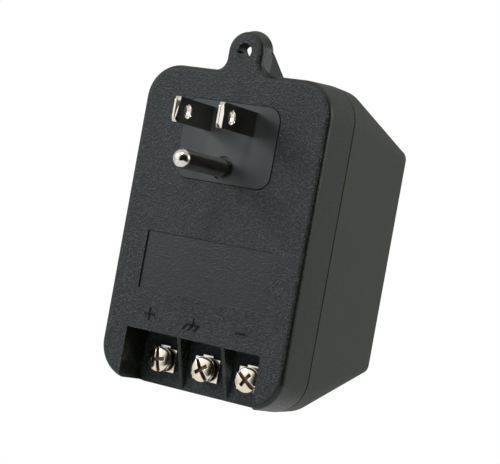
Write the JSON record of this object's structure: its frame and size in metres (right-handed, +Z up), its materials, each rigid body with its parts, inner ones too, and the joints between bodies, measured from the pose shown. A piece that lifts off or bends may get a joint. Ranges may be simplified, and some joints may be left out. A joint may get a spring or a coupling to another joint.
{
  "type": "plug-in power supply",
  "caption": "Black moulded plug-in power supply with flat blades, a round ground pin, a hanging ear and a recessed bay of screw terminals.",
  "frame": {"origin": "on the plug insert's face, midway between the two flat blades", "axes": "+Z up towards the hanging ear, +Y from the plug face into the housing, +X to the right seen from the plug side"},
  "size_m": [0.056, 0.0714, 0.0942],
  "materials": {
    "shell_plastic": "fine spark-textured black moulded plastic",
    "insert_plastic": "smooth black moulded plastic",
    "pin_nickel": "nickel-plated brass",
    "plate_nickel": "nickel-plated brass sheet",
    "screw_nickel": "nickel-plated steel",
    "lamination_steel": "varnished transformer laminations",
    "bobbin_nylon": "natural nylon",
    "copper_wire": "enamelled copper wire",
    "coil_tape": "yellow polyester tape",
    "fuse_ceramic": "off-white thermal fuse",
    "board_laminate": "green circuit board laminate",
    "capacitor_sleeve": "dark blue shrink sleeve",
    "diode_body": "black epoxy",
    "lead_black": "black lead insulation",
    "lead_white": "white lead insulation",
    "lead_green": "green lead insulation",
    "lead_blue": "blue lead insulation",
    "lead_red": "red lead insulation"
  },
  "bodies": {
    "housing": {"front_shell": "shell_plastic", "rear_shell": "shell_plastic", "plug_insert": "insert_plastic", "hot_blade": "pin_nickel", "neutral_blade": "pin_nickel", "ground_pin": "pin_nickel", "terminal_plus": "plate_nickel", "terminal_ground": "plate_nickel", "terminal_minus": "plate_nickel", "core_e_stack": "lamination_steel", "core_i_stack": "lamination_steel", "bobbin": "bobbin_nylon", "primary_winding": "copper_wire", "primary_tape": "coil_tape", "secondary_winding": "copper_wire", "secondary_tape": "coil_tape", "thermal_fuse": "fuse_ceramic", "circuit_board": "board_laminate", "filter_capacitor": "capacitor_sleeve", "diode_1": "diode_body", "diode_2": "diode_body", "diode_3": "diode_body", "diode_4": "diode_body", "hot_lead": "lead_black", "neutral_lead": "lead_white", "ground_lead": "lead_green", "secondary_lead_1": "lead_blue", "secondary_lead_2": "lead_red"},
    "plus_screw": {"screw_plus": "screw_nickel"},
    "ground_screw": {"screw_ground": "screw_nickel"},
    "minus_screw": {"screw_minus": "screw_nickel"}
  },
  "joints": [
    {"name": "plus_screw_turn", "type": "hinge", "parent": "housing", "child": "plus_screw", "pos_m": [-0.0133, 0.0065, -0.0632], "axis": [0, -1, 0], "range_deg": [-700, 900]},
    {"name": "ground_screw_turn", "type": "hinge", "parent": "housing", "child": "ground_screw", "pos_m": [0, 0.0065, -0.0632], "axis": [0, -1, 0], "range_deg": [-700, 900]},
    {"name": "minus_screw_turn", "type": "hinge", "parent": "housing", "child": "minus_screw", "pos_m": [0.0133, 0.0065, -0.0632], "axis": [0, -1, 0], "range_deg": [-700, 900]}
  ]
}
